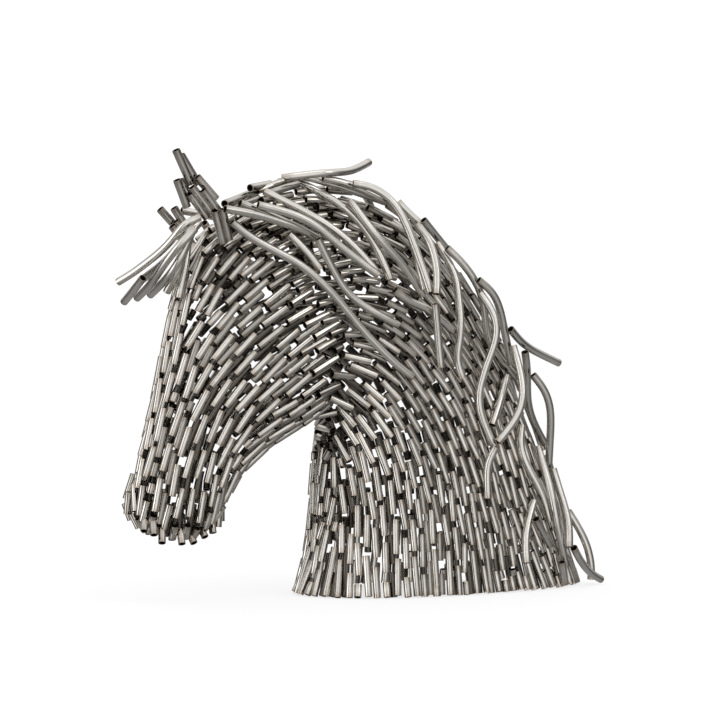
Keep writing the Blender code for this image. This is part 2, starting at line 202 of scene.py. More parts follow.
# Short pipes along the crest and the back of the neck, and round the muzzle: u, v and the place
# across the bust, for both ends
CREST_PIPES = (
    (257, 191, -0.01, 283, 181, -0.004), (270, 193, -0.03, 298, 184, -0.02),
    (279, 182, 0.004, 300, 177, 0.006), (232, 207, -0.03, 259, 198, -0.02),
    (262, 200, -0.03, 292, 195, -0.02), (296, 192, -0.012, 324, 189, -0.01),
    (327, 190, -0.012, 352, 192, -0.012), (243, 213, -0.045, 270, 206, -0.04),
    (275, 206, -0.04, 303, 202, -0.036), (306, 200, -0.03, 334, 200, -0.03),
    (338, 201, -0.03, 364, 207, -0.03), (368, 207, -0.03, 392, 219, -0.03),
    (330, 184, -0.01, 357, 190, -0.01), (360, 192, -0.01, 384, 202, -0.01),
    (387, 205, 0.0, 407, 219, 0.0), (409, 222, 0.0, 427, 238, 0.0),
    (429, 241, 0.0, 446, 259, 0.0), (447, 262, 0.0, 462, 282, 0.0),
    (458, 274, 0.01, 473, 298, 0.01), (472, 295, 0.0, 487, 320, 0.0),
    (485, 317, 0.01, 499, 342, 0.01), (499, 344, 0.0, 511, 368, 0.0),
    (510, 364, 0.01, 521, 390, 0.01), (522, 393, 0.0, 532, 419, 0.0),
    (547, 455, 0.02, 556, 490, 0.02), (554, 486, 0.02, 562, 522, 0.02),
    (560, 516, 0.02, 567, 553, 0.02), (533, 420, 0.01, 543, 450, 0.01),
)
MUZZLE_PIPES = (
    (162, 528, -0.03, 162, 543, -0.045), (180, 529, -0.03, 182, 544, -0.045),
    (189, 532, -0.02, 194, 543, -0.035), (200, 526, -0.02, 205, 537, -0.035),
    (153, 520, -0.025, 154, 535, -0.04), (145, 516, -0.01, 144, 531, -0.025),
    (172, 522, 0.0, 172, 540, -0.01), (211, 518, -0.01, 213, 533, -0.02),
    (134, 474, 0.045, 126, 499, 0.05), (125, 503, 0.05, 131, 520, 0.045),
    (129, 492, 0.03, 127, 514, 0.035), (132, 514, 0.02, 139, 528, 0.012),
    (221, 500, 0.0, 221, 521, 0.0), (219, 506, -0.015, 218, 527, -0.018),
)

# Finishes: the steel's light and dark tone, the brown of its heat marks, and its roughness
PIPE_FINISH = ((0.7, 0.667, 0.62), (0.43, 0.403, 0.367), (0.3, 0.22, 0.15), 0.1)
TUBE_FINISH = ((0.7, 0.672, 0.63), (0.52, 0.497, 0.46), (0.36, 0.28, 0.2), 0.22)
# The dark that bores and shaded walls are painted: painted shade, and in the bores oxide too
SHADE_AND_OXIDE_STEEL = (0.105, 0.093, 0.08)
HEAT_REACH = 0.012
BORE_ROUGHNESS = 0.3

# The grain: scale, stretch along the pipe and detail of its lines and of its patches, how far
# apart two pipes' grains are read, and what the lines do to the gloss and the surface
GRAINS = ((9.0, 3.5, 2.0), (1.4, 30.0, 3.0))
GRAIN_APART = 37.0
GRAIN_GLOSS = 0.12
GRAIN_BUMP = 0.05
GRAIN_DEPTH = 0.0001

# Glow of the studio's walls as the steel sees them, by degrees to the right of the camera
PANELS = (
    (-180, 0.5), (-150, 0.5), (-128, 0.5), (-118, 0.08), (-85, 0.08), (-79, 2.2), (-49, 2.2),
    (-45, 0.08), (-20, 0.08), (-15, 1.14), (34, 1.1), (50, 0.42), (72, 0.32), (82, 0.08),
    (118, 0.08), (128, 0.5), (150, 0.5), (156, 0.15), (168, 0.15), (180, 0.5),
)

# The walls fade between these heights, of a look one long, into the floor's and the roof's glow
WALL_HEIGHTS = (0.2, 0.7)
HORIZON = (-0.15, 0.15)
FLOOR_AND_ROOF = (0.32, 1.0)
WHITE_ROOM = 1.12
FLOOR_GLOW = 0.75
FLOOR_REACH = 30.0

# Soft lights: name, degrees to the right of the camera and up, width and height, glow
SOFT_BOXES = (
    ("key", 55, 30, (0.5, 1.6), 2.0),
    ("strip", -32, 14, (0.16, 2.0), 2.6),
    ("top", 10, 75, (1.6, 0.5), 2.0),
)
LIGHT_DISTANCE = 2.8
LIGHT_AIM = Vector((0.0, 0.0, 0.45))
SENSOR = 36.0


def sight(u, v):
    """Direction in which the eye sees the square u, v of the side view."""
    target = AIM + RIGHT * ((u - AIM_SQUARE) * SQUARE) + UP * ((AIM_SQUARE - v) * SQUARE)
    return (target - EYE).normalized()


# Shell and flow


class Shell:
    """The skin's outer face with its grooves smoothed away, to lay the rows on."""

    def __init__(self, skin):
        bm = bmesh.new()
        bm.from_mesh(skin.data)
        bmesh.ops.remove_doubles(bm, verts=bm.verts, dist=WELD)
        floor = [f for f in bm.faces if max(v.co.z for v in f.verts) < RIM]
        bmesh.ops.delete(bm, geom=floor, context="FACES")
        keep = self.widest_island(bm)
        bmesh.ops.delete(bm, geom=[v for v in bm.verts if v not in keep], context="VERTS")
        self.smooth(bm)
        bmesh.ops.subdivide_edges(bm, edges=bm.edges, cuts=1, use_grid_fill=True)
        bmesh.ops.triangulate(bm, faces=bm.faces)
        self.smooth(bm)
        bm.normal_update()
        bm.verts.index_update()
        self.places = np.array([v.co for v in bm.verts])
        self.normals = np.array([v.normal for v in bm.verts])
        self.corners = [[v.index for v in f.verts] for f in bm.faces]
        self.tree = BVHTree.FromBMesh(bm)
        bm.free()

    @staticmethod
    def smooth(bm):
        """Even out all but the open rim, a few times over."""
        inner = [v for v in bm.verts if not v.is_boundary]
        for _ in range(SMOOTH_ROUNDS):
            bmesh.ops.smooth_vert(bm, verts=inner, factor=0.5, use_axis_x=True,
                                  use_axis_y=True, use_axis_z=True)

    @staticmethod
    def widest_island(bm):
        """The points of the wall that reaches farthest across the bust, which is the outer one."""
        left = set(bm.verts)
        best = ()
        while left:
            island, edge = set(), [left.pop()]
            while edge:
                vert = edge.pop()
                island.add(vert)
                for e in vert.link_edges:
                    other = e.other_vert(vert)
                    if other in left:
                        left.discard(other)
                        edge.append(other)
            width = max(v.co.y for v in island) - min(v.co.y for v in island)
            if not best or width > best[0]:
                best = (width, island)
        return best[1]

    def nearest(self, point):
        """The nearest place on the shell, and its smooth normal."""
        place, _, index, _ = self.tree.find_nearest(Vector(point))
        a, b, c = (self.places[k] for k in self.corners[index])
        place = np.array(place)
        area = [np.linalg.norm(np.cross(p - place, q - place)) for p, q in ((b, c), (c, a), (a, b))]
        normal = sum(w * self.normals[k] for w, k in zip(area, self.corners[index]))
        return place, normal / max(np.linalg.norm(normal), 1e-9)


class Flow:
    """Directions of the rows, spread over the shell from the flow lines on its left side."""

    def __init__(self, shell):
        places, normals, lines = [], [], []
        for u, v, angle in HEAD_FLOW + NECK_FLOW:
            ray = sight(u, v)
            hit = shell.tree.ray_cast(EYE, ray)[0]
            if hit is None:
                continue
            place, normal = shell.nearest(hit)
            turn = math.radians(angle)
            across = np.array(RIGHT) * math.cos(turn) + np.array(UP) * math.sin(turn)
            view = np.array(ray)
            line = across - view * np.dot(across, normal) / np.dot(view, normal)
            line /= np.linalg.norm(line)
            for side in (1.0, -1.0):
                flip = np.array((1.0, side, 1.0))
                shift = np.array((0.0, MIDDLE * (1 - side), 0.0))
                places.append(place * flip + shift)
                normals.append(normal * flip)
                lines.append(line * flip)
        for height in THROAT_HEIGHTS:
            start = Vector((THROAT_FROM, MIDDLE, height))
            hit = shell.tree.ray_cast(start, Vector((1.0, 0.0, 0.0)))[0]
            place, normal = shell.nearest(hit)
            line = np.array((0.0, 0.0, 1.0)) - normal[2] * normal
            places.append(place)
            normals.append(normal)
            lines.append(line / np.linalg.norm(line))
        self.places, self.normals, self.lines = map(np.array, (places, normals, lines))

    def at(self, place, normal):
        """The direction that most of the flow lines near a place agree on."""
        away = np.sum((self.places - place) ** 2, axis=1) + FLOW_BLUR
        facing = np.clip(self.normals @ normal, 0.0, 1.0) + FLOW_TURNED_AWAY
        weight = facing ** 2 / away ** 2
        lines = self.lines - np.outer(self.lines @ normal, normal)
        pull = (lines * weight[:, None]).T @ lines
        _, vectors = np.linalg.eigh(pull)
        line = vectors[:, 2] - normal * np.dot(vectors[:, 2], normal)
        return line / np.linalg.norm(line)


# Rows


class Laid:
    """Places of the rows already laid, sorted into cells so that near ones are found fast."""

    def __init__(self, cell):
        self.cell = cell
        self.cells = {}

    def add(self, place):
        """Note a place of a row."""
        key = tuple(int(math.floor(c / self.cell)) for c in place)
        self.cells.setdefault(key, []).append(tuple(place))

    def near(self, place, reach):
        """Whether a row has been laid within reach of the place."""
        x, y, z = place
        i, j, k = (int(math.floor(c / self.cell)) for c in place)
        for a in (i - 1, i, i + 1):
            for b in (j - 1, j, j + 1):
                for c in (k - 1, k, k + 1):
                    for px, py, pz in self.cells.get((a, b, c), ()):
                        if (px - x) ** 2 + (py - y) ** 2 + (pz - z) ** 2 < reach * reach:
                            return True
        return False


def over_edge(place, normal):
    """Whether a place is past the cut below, or inside the muzzle's open end."""
    muzzle = place[0] < MUZZLE_FRONT and place[2] < MUZZLE_HEIGHT and normal[2] < MUZZLE_SLOPE
    return place[2] < RIM or muzzle


def row_pitch(place):
    """How far apart the rows lie: they are wider on the head than on the neck."""
    return float(np.interp(place[0], HEAD_ENDS, (HEAD_PITCH, NECK_PITCH)))


def trace(shell, flow, laid, start, heading, crowding):
    """Walk along the flow from a place until the rows crowd together or the shell ends."""
    path = []
    place, normal = shell.nearest(start)
    for _ in range(LONGEST_WALK):
        line = flow.at(place, normal)
        if np.dot(line, heading) < 0.0:
            line = -line
        if np.dot(line, heading) < SHARPEST_TURN:
            break
        new, new_normal = shell.nearest(place + line * ROW_STEP)
        if np.linalg.norm(new - place) < LEAST_STEP or over_edge(new, new_normal):
            break
        if laid.near(new, crowding * row_pitch(new)):
            break
        heading = (new - place) / np.linalg.norm(new - place)
        place, normal = new, new_normal
        path.append((place, normal))
    return path


def grow_rows(shell, flow, laid, rows, starts, layer, spacing, crowding):
    """Lay rows from the given places, and from places beside the rows that this lays."""
    starts = list(starts)
    while starts:
        place, normal = shell.nearest(starts.pop(0))
        if over_edge(place, normal) or laid.near(place, spacing * row_pitch(place)):
            continue
        line = flow.at(place, normal)
        back = trace(shell, flow, laid, place, -line, crowding)[::-1]
        path = back + [(place, normal)] + trace(shell, flow, laid, place, line, crowding)
        if len(path) * ROW_STEP < SHORTEST_ROW:
            continue
        rows.append((np.array([p for p, _ in path]), np.array([n for _, n in path]), layer))
        for p, _ in path:
            laid.add(p)
        for k in range(0, len(path) - 1, STARTS_EVERY):
            p, n = path[k]
            side = np.cross(n, path[k + 1][0] - p)
            side *= row_pitch(p) / np.linalg.norm(side)
            starts += [p + side, p - side]


def lay_rows(shell, flow):
    """Rows side by side over the whole shell, then a few behind them where they leave a void."""
    laid = Laid(HEAD_PITCH)
    rows = []
    starts = []
    for u, v in FIRST_ROWS:
        hit = shell.tree.ray_cast(EYE, sight(u, v))[0]
        starts += [np.array((hit.x, MIDDLE + side * (hit.y - MIDDLE), hit.z)) for side in (1.0, -1.0)]
    starts += list(shell.places)
    for layer, spacing, crowding in ROW_LAYERS:
        grow_rows(shell, flow, laid, rows, starts, layer, spacing, crowding)
    return rows


def along(run, values, distance):
    """What a row's places or normals are at a distance from its start."""
    return np.array([np.interp(distance, run, values[:, i]) for i in range(3)])


def cut_rows(rows, rng):
    """Cut each row in pipes whose gaps lie beside the middles of its neighbour's pipes."""
    pipes = []
    middles = []
    for places, normals, layer in rows:
        run = np.concatenate(([0.0], np.cumsum(np.linalg.norm(np.diff(places, axis=0), axis=1))))
        total = run[-1]
        first = first_gap(places, run, middles, rng)
        breaks = np.arange(first - PIPE_PERIOD, total + PIPE_PERIOD, PIPE_PERIOD)
        breaks = breaks + rng.uniform(-BREAK_SHIFT, BREAK_SHIFT, len(breaks))
        gap = np.interp(places[:, 0].mean(), HEAD_ENDS, (HEAD_GAP, NECK_GAP))
        gaps = gap * rng.uniform(*GAP_SPREAD, len(breaks))
        for k in range(len(breaks) - 1):
            a = max(breaks[k] + gaps[k] / 2, 0.0)
            b = min(breaks[k + 1] - gaps[k + 1] / 2, total)
            if places[0][2] < ON_FLOOR and a < PIPE_PERIOD / 2:
                a = 0.0
            if places[-1][2] < ON_FLOOR and total - b < PIPE_PERIOD / 2:
                b = total
            if b - a < SHORTEST_PIPE:
                continue
            normal = along(run, normals, (a + b) / 2)
            middle = (breaks[k] + breaks[k + 1]) / 2
            if 0.0 < middle < total and layer < 1.0:
                middles.append(along(run, places, middle))
            ends = (along(run, places, a), along(run, places, b))
            pipes.append((*ends, normal / np.linalg.norm(normal), layer))
    return pipes


def first_gap(places, run, middles, rng):
    """Where along a row its first gap goes so that the gaps lie beside its neighbours' middles."""
    if not middles:
        return 0.0
    away = np.linalg.norm(np.array(middles)[:, None] - places[None], axis=2)
    nearest = np.argmin(away, axis=1)
    turns = 2 * math.pi * run[nearest[np.min(away, axis=1) < NEIGHBOUR_REACH]] / PIPE_PERIOD
    if not len(turns):
        return rng.uniform(0.0, PIPE_PERIOD)
    turn = math.atan2(float(np.sum(np.sin(turns))), float(np.sum(np.cos(turns))))
    return turn / (2 * math.pi) * PIPE_PERIOD % PIPE_PERIOD


# Meshes and node trees


def hollow_pipe(name, sides, rings):
    """A pipe of unit length and radius, with its grain's run and with its narrower bore marked."""
    bm = bmesh.new()
    grain = bm.loops.layers.uv.new("Grain")
    inside = bm.verts.layers.float.new("bore")
    walls = []
    for radius, mark in ((1.0, 0.0), (TEMPLATE_BORE, 1.0)):
        wall = []
        for r in range(rings):
            ring = []
            for k in range(sides):
                turn = 2 * math.pi * k / sides
                v = bm.verts.new((radius * math.cos(turn), radius * math.sin(turn), r / (rings - 1)))
                v[inside] = mark
                ring.append(v)
            wall.append(ring)
        walls.append(wall)
    out, bore = walls
    faces = []
    for r in range(rings - 1):
        for k in range(sides):
            n = (k + 1) % sides
            faces.append((k, bm.faces.new((out[r][k], out[r][n], out[r + 1][n], out[r + 1][k]))))
            faces.append((k, bm.faces.new((bore[r][k], bore[r + 1][k], bore[r + 1][n], bore[r][n]))))
    for k in range(sides):
        n = (k + 1) % sides
        faces.append((k, bm.faces.new((out[0][k], bore[0][k], bore[0][n], out[0][n]))))
        faces.append((k, bm.faces.new((out[-1][k], out[-1][n], bore[-1][n], bore[-1][k]))))
    bm.normal_update()
    for k, face in faces:
        face.smooth = abs(face.normal.z) < 0.5
        for loop in face.loops:
            turn = math.atan2(loop.vert.co.y, loop.vert.co.x) / (2 * math.pi) % 1.0
            if k == sides - 1 and turn < 0.5 / sides:
                turn += 1.0
            loop[grain].uv = (turn, loop.vert.co.z)
    for edge in bm.edges:
        edge.smooth = edge.calc_face_angle(0.0) < SHARP_EDGE
    mesh = bpy.data.meshes.new(name)
    bm.to_mesh(mesh)
    bm.free()
    return mesh


def new_tree(kind, name, inputs, outputs):
    """An empty node tree with named inputs and outputs, and its first and last node."""
    tree = bpy.data.node_groups.new(name, kind)
    for way, sockets in (("INPUT", inputs), ("OUTPUT", outputs)):
        for label, of in sockets:
            tree.interface.new_socket(label, in_out=way, socket_type="NodeSocket" + of)
    return tree, tree.nodes.new("NodeGroupInput"), tree.nodes.new("NodeGroupOutput")


def node(tree, kind, inputs=None, **settings):
    """A node with its settings, and its inputs set or linked, by socket name or place."""
    made = tree.nodes.new(kind)
    for key, value in settings.items():
        setattr(made, key, value)
    for key, value in (inputs or {}).items():
        if isinstance(value, bpy.types.NodeSocket):
            tree.links.new(value, made.inputs[key])
        else:
            made.inputs[key].default_value = value
    return made


def math_node(tree, operation, a, b=0.5, c=0.0, clamp=False):
    """A sum of numbers or linked values."""
    made = node(tree, "ShaderNodeMath", {0: a, 1: b, 2: c}, operation=operation, use_clamp=clamp)
    return made.outputs[0]


def vector_node(tree, operation, a, b):
    """A sum of two vectors, or of a vector and its scale."""
    second = "Scale" if operation == "SCALE" else 1
    made = node(tree, "ShaderNodeVectorMath", {0: a, second: b}, operation=operation)
    return made.outputs["Value" if operation == "DOT_PRODUCT" else "Vector"]


def rescale(tree, value, was, becomes):
    """A value's range, given by its two ends, drawn out over another, and held inside it."""
    made = node(tree, "ShaderNodeMapRange", {
        "Value": value, "From Min": was[0], "From Max": was[1],
        "To Min": becomes[0], "To Max": becomes[1]})
    return made.outputs[0]


def mix_colour(tree, share, low, high):
    """A colour or linked colour that goes over into another with the share."""
    low, high = ((*c, 1.0) if isinstance(c, tuple) else c for c in (low, high))
    return node(tree, "ShaderNodeMix", {0: share, 6: low, 7: high}, data_type="RGBA").outputs[2]


def named(tree, name, kind):
    """What a mesh's attribute says."""
    made = node(tree, "GeometryNodeInputNamedAttribute", {"Name": name}, data_type=kind)
    return made.outputs["Attribute"]


def steel_tree(name, base):
    """An empty geometry tree for hollow steel, with an object to read as its first named input."""
    inputs = (("Geometry", "Geometry"), (base, "Object"), ("Steel", "Material"),
              ("Outer Diameter", "Float"), ("Bore", "Float"))
    return new_tree("GeometryNodeTree", name, inputs, (("Geometry", "Geometry"),))


def wall_radius(tree, start):
    """How far the template's outer wall or its bore is scaled to get the diameters put in."""
    outer = math_node(tree, "MULTIPLY", start.outputs["Outer Diameter"], 0.5)
    width = node(tree, "ShaderNodeMix", {
        0: named(tree, "bore", "FLOAT"), 2: outer, 3: start.outputs["Bore"]}, data_type="FLOAT")
    return width.outputs[0]


def finish_tree(tree, start, end, geometry):
    """Give the geometry the steel that was put in, and put it out."""
    steel = node(tree, "GeometryNodeSetMaterial", {
        "Geometry": geometry, "Material": start.outputs["Steel"]})
    tree.links.new(steel.outputs[0], end.inputs[0])
    return tree


def pipes_tree():
    """Put a pipe on every point, turned, stretched and marked as the point says, with painted shade on
    the walls that face away from the point's given side.
    """
    tree, start, end = steel_tree("lay pipes", "Pipe")
    unit = node(tree, "GeometryNodeObjectInfo", {"Object": start.outputs["Pipe"]})
    place = node(tree, "GeometryNodeInputPosition").outputs[0]
    radius = wall_radius(tree, start)
    reach = node(tree, "ShaderNodeCombineXYZ", {0: radius, 1: radius, 2: 1.0}).outputs[0]
    pipe = node(tree, "GeometryNodeSetPosition", {
        "Geometry": unit.outputs["Geometry"], "Position": vector_node(tree, "MULTIPLY", place, reach)})
    facing = vector_node(tree, "DOT_PRODUCT", node(tree, "GeometryNodeInputNormal").outputs[0],
                         named(tree, "out", "FLOAT_VECTOR"))
    # Painted shade: walls that face away from the given side are marked to be painted dark, standing in
    # for the shade inside the hollow and behind the front rows
    inward = rescale(tree, facing, SHADE_FACING, (0.0, 1.0))
    spin = node(tree, "FunctionNodeEulerToRotation", {0: named(tree, "turn", "FLOAT_VECTOR")})
    points = node(tree, "GeometryNodeMeshToPoints", {"Mesh": start.outputs["Geometry"]})
    put = node(tree, "GeometryNodeInstanceOnPoints", {
        "Points": points.outputs[0], "Instance": pipe.outputs[0],
        "Rotation": spin.outputs[0], "Scale": named(tree, "size", "FLOAT_VECTOR")})
    real = node(tree, "GeometryNodeRealizeInstances", {0: put.outputs[0]})
    mark = node(tree, "GeometryNodeStoreNamedAttribute", {
        "Name": "inward", "Geometry": real.outputs[0], "Value": inward},
        data_type="FLOAT", domain="POINT")
    return finish_tree(tree, start, end, mark.outputs[0])


def tube_tree():
    """Bend a straight pipe, of unit length along Z, round a path."""
    tree, start, end = steel_tree("bend tube", "Path")
    path = node(tree, "GeometryNodeObjectInfo", {"Object": start.outputs["Path"]})
    place = node(tree, "GeometryNodeInputPosition").outputs[0]
    parts = node(tree, "ShaderNodeSeparateXYZ", {0: place}).outputs
    radius = wall_radius(tree, start)
    on = node(tree, "GeometryNodeSampleCurve", {
        "Curves": path.outputs["Geometry"], "Factor": parts["Z"]},
        mode="FACTOR", use_all_curves=True).outputs
    other = vector_node(tree, "CROSS_PRODUCT", on["Tangent"], on["Normal"])
    side = vector_node(tree, "SCALE", on["Normal"], math_node(tree, "MULTIPLY", parts["X"], radius))
    rise = vector_node(tree, "SCALE", other, math_node(tree, "MULTIPLY", parts["Y"], radius))
    reach = vector_node(tree, "ADD", side, rise)
    bent = node(tree, "GeometryNodeSetPosition", {
        "Geometry": start.outputs["Geometry"],
        "Position": vector_node(tree, "ADD", on["Position"], reach)})
    real = node(tree, "GeometryNodeRealizeInstances", {0: bent.outputs[0]})
    return finish_tree(tree, start, end, real.outputs[0])


def grow(name, mesh, tree, inputs):
    """Run a tree on a mesh and keep the result as a plain mesh, with no point past the part's box."""
    base = bpy.data.objects.new(name + "_base", mesh)
    bpy.context.scene.collection.objects.link(base)
    modifier = base.modifiers.new(tree.name, "NODES")
    modifier.node_group = tree
    for item in tree.interface.items_tree:
        if item.in_out == "INPUT" and item.name in inputs:
            modifier[item.identifier] = inputs[item.name]
    graph = bpy.context.evaluated_depsgraph_get()
    made = bpy.data.meshes.new_from_object(base.evaluated_get(graph), depsgraph=graph)
    made.name = name
    corners = np.empty(3 * len(made.vertices))
    made.vertices.foreach_get("co", corners)
    held = np.clip(corners.reshape(-1, 3), np.array(cad_box[0]), np.array(cad_box[1]))
    made.vertices.foreach_set("co", held.ravel())
    made.update()
    bpy.data.objects.remove(base)
    piece = bpy.data.objects.new(name, made)
    bpy.context.scene.collection.objects.link(piece)
    return piece


def hidden(name, data):
    """An object that only a tree reads."""
    obj = bpy.data.objects.new(name, data)
    bpy.context.scene.collection.objects.link(obj)
    obj.hide_render = True
    return obj


# The pipes


def pipe_points(name, pipes, outs, rng):
    """Points that carry each pipe's place, turn, size and marks for its finish, among them the side that
    decides where it is painted shaded.
    """
    mesh = bpy.data.meshes.new(name)
    mesh.from_pydata([tuple(a) for a, _ in pipes], [], [])
    axes = [Vector(b - a) for a, b in pipes]
    turns = [axis.to_track_quat("Z", "Y").to_euler() for axis in axes]
    lengths = [axis.length for axis in axes]
    marks = (("turn", "FLOAT_VECTOR", "vector", [c for turn in turns for c in turn]),
             ("size", "FLOAT_VECTOR", "vector", [c for length in lengths for c in (1.0, 1.0, length)]),
             ("out", "FLOAT_VECTOR", "vector", [c for out in outs for c in out]),
             ("length", "FLOAT", "value", lengths),
             ("lot", "FLOAT", "value", [rng.random() for _ in pipes]))
    for label, kind, field, values in marks:
        mesh.attributes.new(label, kind, "POINT").data.foreach_set(field, values)
    return mesh


def lay_pipes(name, pipes, outs, width, bore, steel, tree, rng):
    """One mesh of hollow pipes, each given by its two ends and a side, for front rows the one that looks
    out; walls turned away from that side are painted dark as painted shade.
    """
    template = hidden("one_pipe", hollow_pipe("one_pipe", PIPE_SIDES, 2))
    points = pipe_points(name + "_points", pipes, outs, rng)
    piece = grow(name, points, tree, {
        "Pipe": template, "Steel": steel, "Outer Diameter": width, "Bore": bore})
    bpy.data.objects.remove(template)
    return piece


def build_skin(steel, tree, rng):
    """The rows of short pipes, as one piece for each side of the bust."""
    shell = Shell(NODES["pipe_skin"])
    flow = Flow(shell)
    low, high = np.array(cad_box[0]) + BOX_MARGIN, np.array(cad_box[1]) - BOX_MARGIN
    sides = {"left": [], "right": []}
    for a, b, normal, layer in cut_rows(lay_rows(shell, flow), rng):
        depth = SUNK + layer * BEHIND + rng.uniform(-DEPTH_SHIFT, DEPTH_SHIFT)
        tilt = normal * rng.uniform(-END_TILT, END_TILT)
        tilt = tilt + np.cross(normal, b - a) * rng.uniform(-END_TURN, END_TURN)
        a, b = a - normal * depth + tilt, b - normal * depth - tilt
        for _ in range(BOX_ROUNDS):
            axis = (b - a) / np.linalg.norm(b - a)
            spread = PIPE_OD / 2 * np.sqrt(np.clip(1 - axis ** 2, 0.0, 1.0))
            a, b = (np.clip(end, low + spread, high - spread) for end in (a, b))
        # Painted shade: a front row's walls turned into the hollow are painted dark; rows behind get a
        # side that points inwards, so their outer walls are painted darker the deeper they lie, as the
        # shade of the rows in front
        out = normal if layer == 0.0 else -layer ** 2 * normal
        sides["left" if (a + b)[1] / 2 < MIDDLE else "right"].append(((a, b), out))
    for side, laid in sides.items():
        pipes, outs = zip(*laid)
        piece = lay_pipes("short_pipes_" + side, pipes, outs, PIPE_OD, PIPE_BORE, steel, tree, rng)
        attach(piece, "root")
        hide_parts("pipe_skin")


def build_loose_pipes(name, table, steel, tree, rng):
    """Short pipes given by their ends in the side view and how far across the bust each end lies."""
    pipes = []
    for u0, v0, y0, u1, v1, y1 in table:
        ends = []
        for u, v, y in ((u0, v0, y0), (u1, v1, y1)):
            ray = np.array(sight(u, v))
            ends.append(np.array(EYE) + ray * (y - EYE.y) / ray[1])
        pipes.append(tuple(ends))
    # With no side given, these pipes are painted a little shaded all round
    outs = [(0.0, 0.0, 0.0)] * len(pipes)
    piece = lay_pipes(name, pipes, outs, PIPE_OD, PIPE_BORE, steel, tree, rng)
    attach(piece, "root")


def build_ear(name, table, steel, tree, rng):
    """An ear of hollow pipes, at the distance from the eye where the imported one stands."""
    solid = BVHTree.FromPolygons([v.co for v in NODES[name].data.vertices],
                                 [p.vertices for p in NODES[name].data.polygons])
    depths = []
    for u0, v0, u1, v1, forward in table:
        for share in EAR_LOOKS:
            ray = sight(u0 + share * (u1 - u0), v0 + share * (v1 - v0))
            gap = solid.ray_cast(EYE, ray)[3]
            if gap is not None:
                depths.append(gap + (EAR_DEPTH + forward) * EAR_PIPE_OD)
    depth = float(np.median(depths))
    pipes = []
    for u0, v0, u1, v1, forward in table:
        reach = depth - forward * EAR_PIPE_OD
        lean = EAR_LEAN / 2 * math.hypot(u1 - u0, v1 - v0) * SQUARE
        ends = ((u1, v1, reach + lean), (u0, v0, reach - lean))
        pipes.append(tuple(np.array(EYE + sight(u, v) * far) for u, v, far in ends))
    # With no side given, these pipes are painted a little shaded all round
    outs = [(0.0, 0.0, 0.0)] * len(pipes)
    piece = lay_pipes(name + "_pipes", pipes, outs, EAR_PIPE_OD, EAR_PIPE_BORE, steel, tree, rng)
    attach(piece, "root")
    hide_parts(name)


# The tubes


def centre_line(solid):
    """The line through the middle of a packed tube, from one end to the other."""
    bm = bmesh.new()
    bm.from_mesh(solid.data)
    bmesh.ops.remove_doubles(bm, verts=bm.verts, dist=WELD)
    bm.verts.index_update()
    caps = [f for f in bm.faces if max(e.calc_length() for e in f.edges) < END_FACE_REACH]
    ring = set(caps[0].verts)
    grown = True
    while grown:
        grown = False
        for face in caps:
            touching = sum(v in ring for v in face.verts)
            if 0 < touching < len(face.verts):
                ring.update(face.verts)
                grown = True
    seen = set(ring)
    line = []
    while ring:
        in_order = sorted(ring, key=lambda v: v.index)
        line.append(sum((v.co for v in in_order), Vector()) / len(ring))
        ring = {e.other_vert(v) for v in ring for e in v.link_edges} - seen
        seen |= ring
    bm.free()
    return np.array(line)


def smooth_line(points):
    """The line rounded off as a bent tube is, and read at even steps, with its length."""
    ends = (2 * points[:1] - points[1:2], 2 * points[-1:] - points[-2:-1])
    held = np.vstack((ends[0], points, ends[1]))
    fine = []
    for i in range(len(held) - 3):
        a, b, c, d = held[i:i + 4]
        for f in np.arange(0.0, 1.0, 1 / BEND_STEPS):
            fine.append((a * (1 - f) ** 3 + b * (3 * f ** 3 - 6 * f ** 2 + 4)
                         + c * (-3 * f ** 3 + 3 * f ** 2 + 3 * f + 1) + d * f ** 3) / 6)
    fine = np.array(fine + [points[-1]])
    steps = np.linalg.norm(np.diff(fine, axis=0), axis=1)
    run = np.concatenate(([0.0], np.cumsum(steps)))
    count = max(TUBE_FEWEST_RINGS, int(round(run[-1] / TUBE_RING_GAP)) + 1)
    marks = np.linspace(0.0, run[-1], count)
    return np.stack([np.interp(marks, run, fine[:, k]) for k in range(3)], axis=1), run[-1]


def tube_path(name, line):
    """The middle of a bent tube, as a curve for the tree to follow."""
    curve = bpy.data.curves.new(name, "CURVE")
    curve.dimensions = "3D"
    spline = curve.splines.new("POLY")
    spline.points.add(len(line) - 1)
    for point, place in zip(spline.points, line):
        point.co = (*place, 1.0)
    return hidden(name, curve)


def mark_whole(mesh, name, value):
    """Give all of a mesh one value to finish it by."""
    layer = mesh.attributes.new(name, "FLOAT", "POINT")
    layer.data.foreach_set("value", [value] * len(mesh.vertices))


def bend_tubes(steel, rng):
    """A smooth hollow tube for each packed one of the mane and the forelock."""
    tree = tube_tree()
    for name in sorted(n for n in NODES if n.startswith(("mane_", "forelock_"))):
        line, length = smooth_line(centre_line(NODES[name]))
        path = tube_path(name + "_path", line)
        straight = hollow_pipe(name + "_straight", TUBE_SIDES, len(line))
        mark_whole(straight, "length", length)
        mark_whole(straight, "lot", rng.random())
        piece = grow(name + "_tube", straight, tree, {
            "Path": path, "Steel": steel, "Outer Diameter": TUBE_OD, "Bore": TUBE_BORE})
        bpy.data.objects.remove(path)
        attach(piece, "root")
        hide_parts(name)


# Finishes


